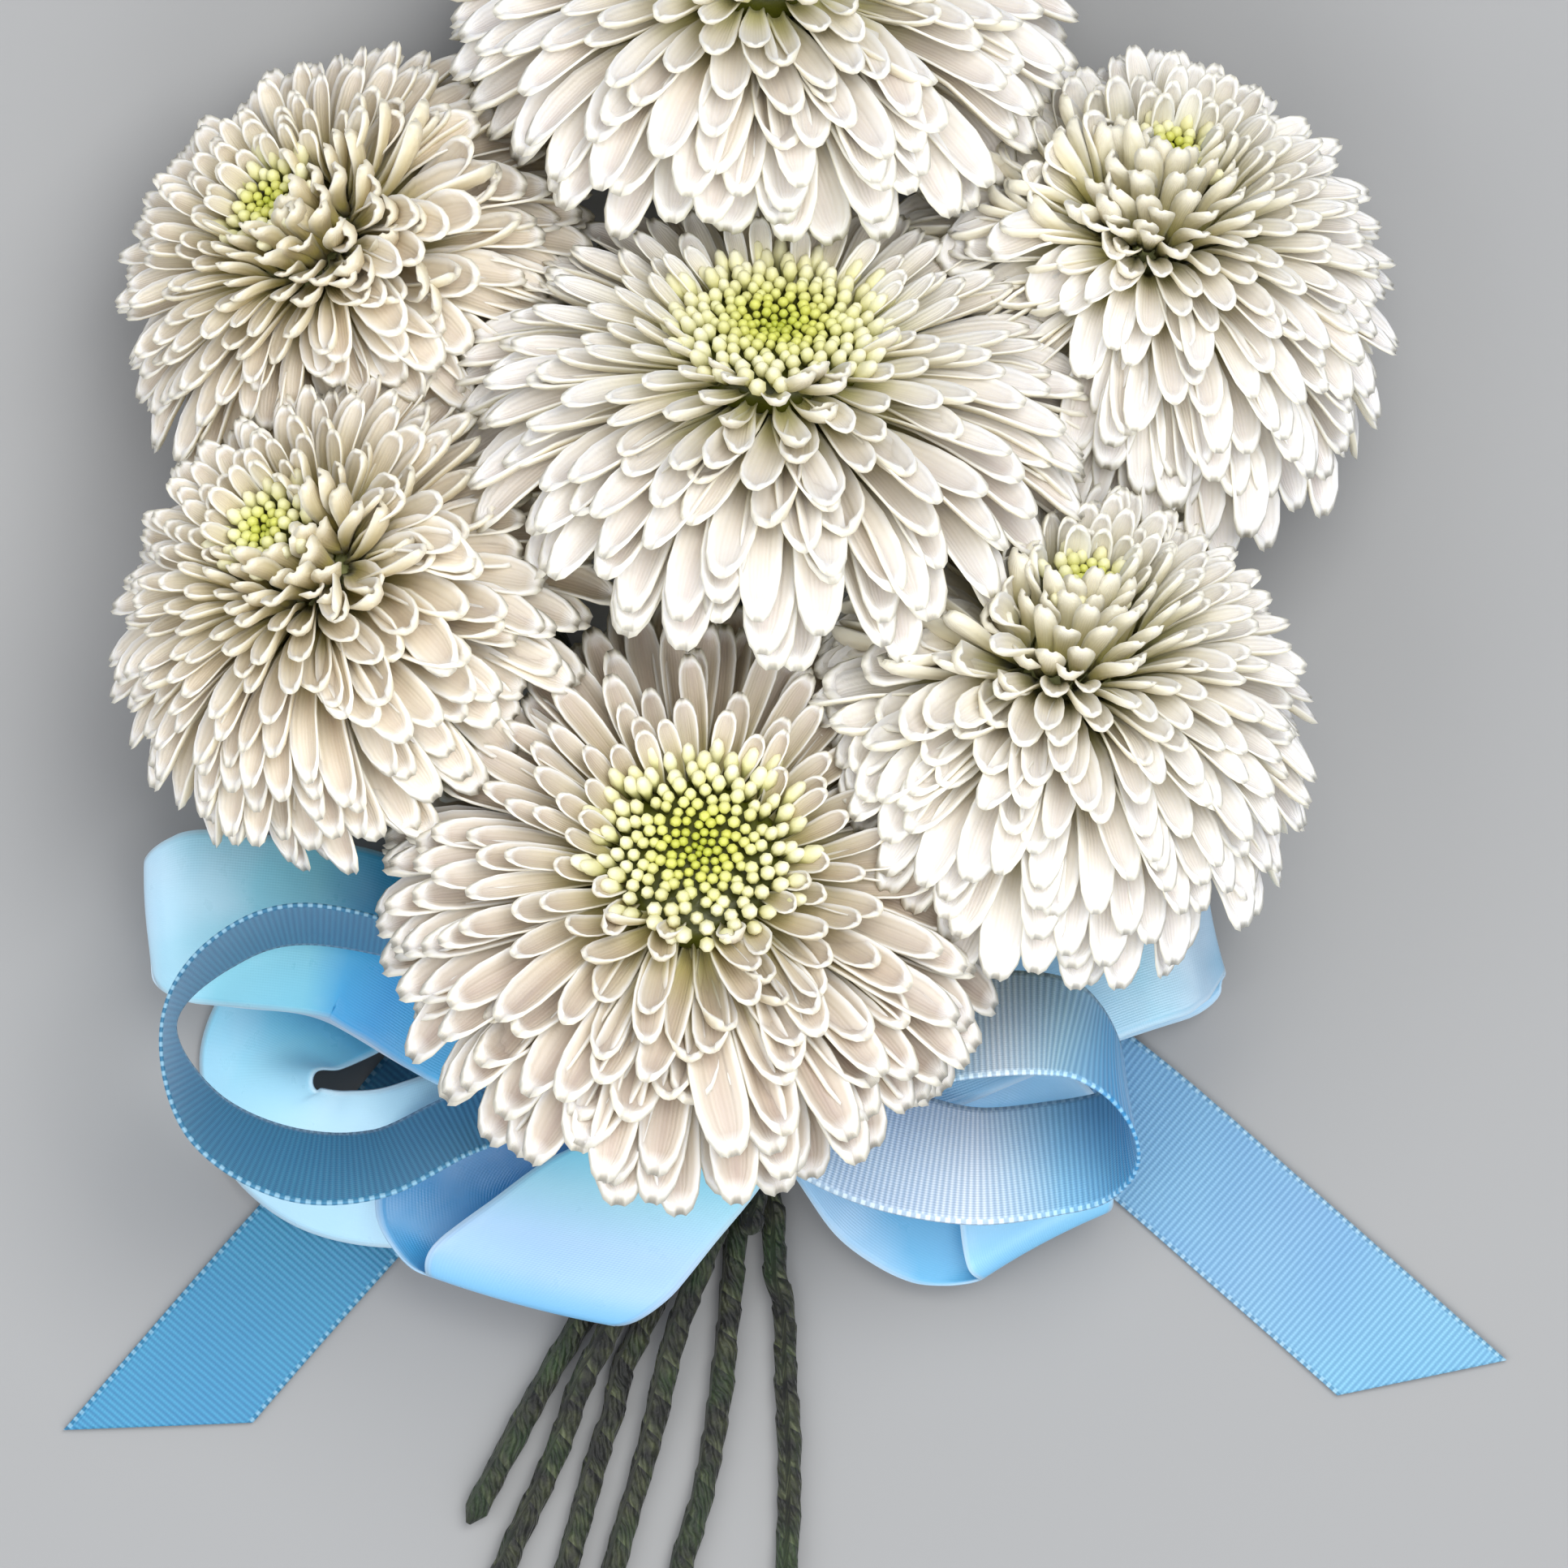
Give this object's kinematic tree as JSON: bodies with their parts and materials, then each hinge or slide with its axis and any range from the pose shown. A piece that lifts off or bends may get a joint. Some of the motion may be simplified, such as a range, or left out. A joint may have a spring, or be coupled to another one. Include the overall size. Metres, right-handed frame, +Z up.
{
  "type": "ribbon-tied chrysanthemum bunch",
  "caption": "Bunch of white chrysanthemum heads on tape-wrapped wire stems, bound together and tied with a light-blue ribbon bow, lying on its back.",
  "frame": {"origin": "middle of the bunch's footprint, on the surface it lies on", "axes": "+Y from the stem ends towards the heads, +Z up from the surface, +X to the right seen from above"},
  "size_m": [0.1668, 0.2154, 0.0703],
  "materials": {
    "petal": "soft matt petal, cream white with a yellow-green root",
    "disc": "closed florets, yellow-green at the middle and cream at the rim",
    "calyx": "matt green bracts",
    "tape": "dark green paper tape wound in a spiral",
    "satin": "glossy satin weave",
    "ribbed": "fine cross ribs with stitched selvedges"
  },
  "bodies": {
    "root": {"petals_top": "petal", "disc_top": "disc", "calyx_top": "calyx", "stem_top": "tape", "petals_upper_left": "petal", "disc_upper_left": "disc", "calyx_upper_left": "calyx", "stem_upper_left": "tape", "petals_lower_left": "petal", "disc_lower_left": "disc", "calyx_lower_left": "calyx", "stem_lower_left": "tape", "petals_upper_right": "petal", "disc_upper_right": "disc", "calyx_upper_right": "calyx", "stem_upper_right": "tape", "petals_lower_right": "petal", "disc_lower_right": "disc", "calyx_lower_right": "calyx", "stem_lower_right": "tape", "petals_middle": "petal", "disc_middle": "disc", "calyx_middle": "calyx", "stem_middle": "tape", "petals_bottom": "petal", "disc_bottom": "disc", "calyx_bottom": "calyx", "stem_bottom": "tape", "stem_binding": "tape", "ribbon_left_back_loop": "satin", "ribbon_left_lower_loop": "satin", "ribbon_centre_loop": "satin", "ribbon_right_back_loop": "satin", "ribbon_right_lower_loop": "satin", "bow_knot": "ribbed", "ribbon_left_front_loop": "ribbed", "ribbon_right_front_loop": "ribbed", "ribbon_left_tail": "ribbed", "ribbon_right_tail": "ribbed"}
  },
  "joints": []
}
